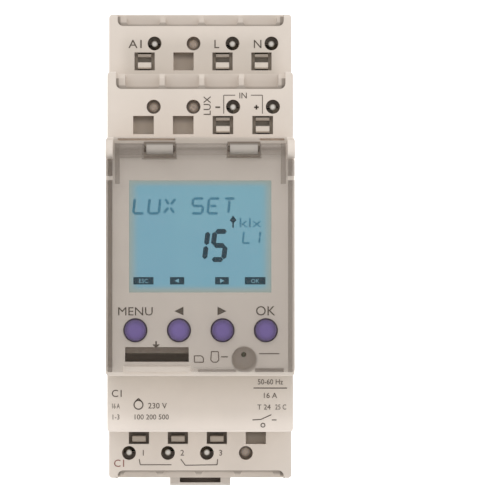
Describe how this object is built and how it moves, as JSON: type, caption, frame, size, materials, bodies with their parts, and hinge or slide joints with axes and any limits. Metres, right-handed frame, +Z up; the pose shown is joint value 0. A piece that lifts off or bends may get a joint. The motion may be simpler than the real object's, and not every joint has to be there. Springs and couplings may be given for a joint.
{
  "type": "din rail timer",
  "caption": "Two-module DIN rail timer with lit display, four violet keys, hinged tinted cover, push-in terminals and a sprung rail latch.",
  "frame": {"origin": "middle of the seat that rests on the rail's front face, at the rail's centre line and the middle of the width", "axes": "+X to the right seen from the front, front faces -Y, +Z up; the rail runs along X"},
  "size_m": [0.0356, 0.0655, 0.0939],
  "materials": {
    "housing": "fine spark-eroded matt, light warm grey",
    "cover": "clear moulded plastic with a smoke tint",
    "guide": "matt, warm grey",
    "lever": "matt, light warm grey",
    "latch": "matt, warm grey",
    "key": "satin, violet",
    "lcd": "polarised glass cell lit from behind",
    "black_plastic": "matt, black",
    "light_guide": "clear, frosted back",
    "led": "clear lens",
    "elastomer": "soft, grey",
    "circuit_board": "green solder mask",
    "tinned_steel": "bright tinned",
    "spring_steel": "bright spring steel",
    "gold": "gold flashed",
    "relay_plastic": "satin, pale grey",
    "winding": "enamelled copper wire",
    "copper_alloy": "tinned copper alloy",
    "capacitor_yellow": "satin, ochre",
    "aluminium_can": "sleeved can",
    "varistor_blue": "dipped coating, blue",
    "resistor_green": "cement coating, green",
    "ribbon": "grey flat cable",
    "connector_white": "off-white nylon"
  },
  "bodies": {
    "housing": {"rear_housing": "housing", "front_housing": "housing", "wire_guides": "guide", "tact_switches": "black_plastic", "lcd_glass": "lcd", "lcd_frame": "black_plastic", "light_guide": "light_guide", "backlight_leds": "led", "zebra_strip": "elastomer", "display_board": "circuit_board", "microcontroller": "black_plastic", "quartz_crystal": "tinned_steel", "battery_holder": "black_plastic", "battery": "tinned_steel", "battery_contact": "spring_steel", "card_socket": "black_plastic", "card_contacts": "gold", "power_board": "circuit_board", "relay_case": "relay_plastic", "relay_base": "relay_plastic", "relay_coil": "winding", "relay_yoke": "tinned_steel", "relay_contacts": "copper_alloy", "film_capacitor": "capacitor_yellow", "electrolytic_capacitor": "aluminium_can", "varistor": "varistor_blue", "input_resistor": "resistor_green", "ribbon_cable": "ribbon", "ribbon_connectors": "connector_white", "latch_spring": "spring_steel", "current_bars": "copper_alloy", "clamp_springs": "spring_steel"},
    "cover": {"cover": "cover"},
    "latch": {"rail_latch": "latch"},
    "armature": {"relay_armature": "tinned_steel"},
    "key_menu": {"key_menu": "key"},
    "key_left": {"key_left": "key"},
    "key_right": {"key_right": "key"},
    "key_ok": {"key_ok": "key"},
    "release_lever_1": {"release_lever_1": "lever"},
    "release_lever_2": {"release_lever_2": "lever"},
    "release_lever_3": {"release_lever_3": "lever"},
    "release_lever_4": {"release_lever_4": "lever"},
    "release_lever_5": {"release_lever_5": "lever"},
    "release_lever_6": {"release_lever_6": "lever"},
    "release_lever_7": {"release_lever_7": "lever"},
    "release_lever_8": {"release_lever_8": "lever"}
  },
  "joints": [
    {"name": "cover_hinge", "type": "hinge", "parent": "housing", "child": "cover", "pos_m": [0, -0.0583, 0.0202], "axis": [-1, 0, 0], "range_deg": [0, 120]},
    {"name": "latch_slide", "type": "slide", "parent": "housing", "child": "latch", "axis": [0, 0, -1], "range_m": [0, 0.0035], "stiffness_N_per_m": 900, "springref_m": -0.002, "deforming": ["latch_spring"]},
    {"name": "relay_armature_hinge", "type": "hinge", "parent": "housing", "child": "armature", "pos_m": [-0.00865, -0.0179, 0.0068], "axis": [-1, 0, 0], "range_deg": [0, 3], "stiffness_Nm_per_rad": 0.01, "springref_deg": -5.73},
    {"name": "key_menu_press", "type": "slide", "parent": "housing", "child": "key_menu", "axis": [0, 1, 0], "range_m": [0, 0.0006], "stiffness_N_per_m": 1500, "springref_m": -0.0003},
    {"name": "key_left_press", "type": "slide", "parent": "housing", "child": "key_left", "axis": [0, 1, 0], "range_m": [0, 0.0006], "stiffness_N_per_m": 1500, "springref_m": -0.0003},
    {"name": "key_right_press", "type": "slide", "parent": "housing", "child": "key_right", "axis": [0, 1, 0], "range_m": [0, 0.0006], "stiffness_N_per_m": 1500, "springref_m": -0.0003},
    {"name": "key_ok_press", "type": "slide", "parent": "housing", "child": "key_ok", "axis": [0, 1, 0], "range_m": [0, 0.0006], "stiffness_N_per_m": 1500, "springref_m": -0.0003},
    {"name": "release_lever_1_press", "type": "slide", "parent": "housing", "child": "release_lever_1", "axis": [0, 1, 0], "range_m": [0, 0.0012], "stiffness_N_per_m": 4000, "springref_m": -0.0005},
    {"name": "release_lever_2_press", "type": "slide", "parent": "housing", "child": "release_lever_2", "axis": [0, 1, 0], "range_m": [0, 0.0012], "stiffness_N_per_m": 4000, "springref_m": -0.0005},
    {"name": "release_lever_3_press", "type": "slide", "parent": "housing", "child": "release_lever_3", "axis": [0, 1, 0], "range_m": [0, 0.0012], "stiffness_N_per_m": 4000, "springref_m": -0.0005},
    {"name": "release_lever_4_press", "type": "slide", "parent": "housing", "child": "release_lever_4", "axis": [0, 1, 0], "range_m": [0, 0.0012], "stiffness_N_per_m": 4000, "springref_m": -0.0005},
    {"name": "release_lever_5_press", "type": "slide", "parent": "housing", "child": "release_lever_5", "axis": [0, 1, 0], "range_m": [0, 0.0012], "stiffness_N_per_m": 4000, "springref_m": -0.0005},
    {"name": "release_lever_6_press", "type": "slide", "parent": "housing", "child": "release_lever_6", "axis": [0, 1, 0], "range_m": [0, 0.0012], "stiffness_N_per_m": 4000, "springref_m": -0.0005},
    {"name": "release_lever_7_press", "type": "slide", "parent": "housing", "child": "release_lever_7", "axis": [0, 1, 0], "range_m": [0, 0.0012], "stiffness_N_per_m": 4000, "springref_m": -0.0005},
    {"name": "release_lever_8_press", "type": "slide", "parent": "housing", "child": "release_lever_8", "axis": [0, 1, 0], "range_m": [0, 0.0012], "stiffness_N_per_m": 4000, "springref_m": -0.0005}
  ]
}
